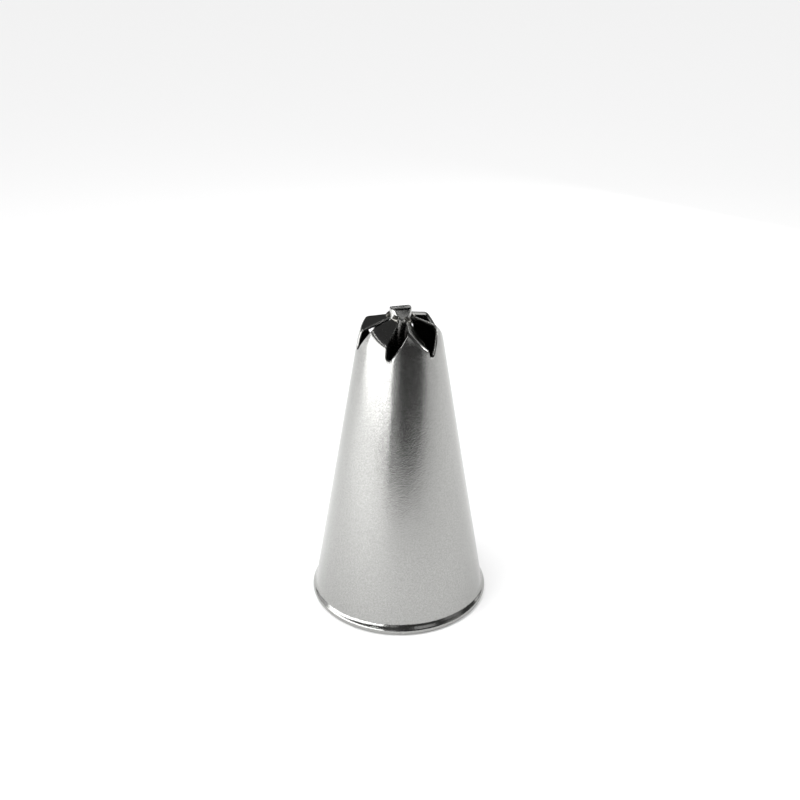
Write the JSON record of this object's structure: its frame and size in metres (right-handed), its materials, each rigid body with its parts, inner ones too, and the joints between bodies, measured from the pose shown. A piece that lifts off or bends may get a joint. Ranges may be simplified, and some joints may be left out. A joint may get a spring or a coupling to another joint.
{
  "type": "piping nozzle",
  "caption": "Conical sheet-metal piping nozzle with a rolled rim, swirled blades closing its tip and a round post in the middle of the tip, for piping drop flowers.",
  "frame": {"origin": "centre of the rim, on the surface that the nozzle stands on", "axes": "+Z along the cone's axis from the rim to the tip; -Y towards the front of the picture"},
  "size_m": [0.0184, 0.0184, 0.0318],
  "materials": {
    "stainless_sheet": "spun and barrel-tumbled satin, brighter on the rolled rim and the slot edges",
    "stainless_pin": "drawn bar, nipped end",
    "stainless_strap": "sheared strip, dull satin",
    "silver_braze": "flowed filler metal, slightly warm"
  },
  "bodies": {
    "root": {"nozzle_shell": "stainless_sheet", "centre_post": "stainless_pin", "cross_bar": "stainless_strap", "bar_braze": "silver_braze", "tip_braze": "silver_braze"}
  },
  "joints": []
}
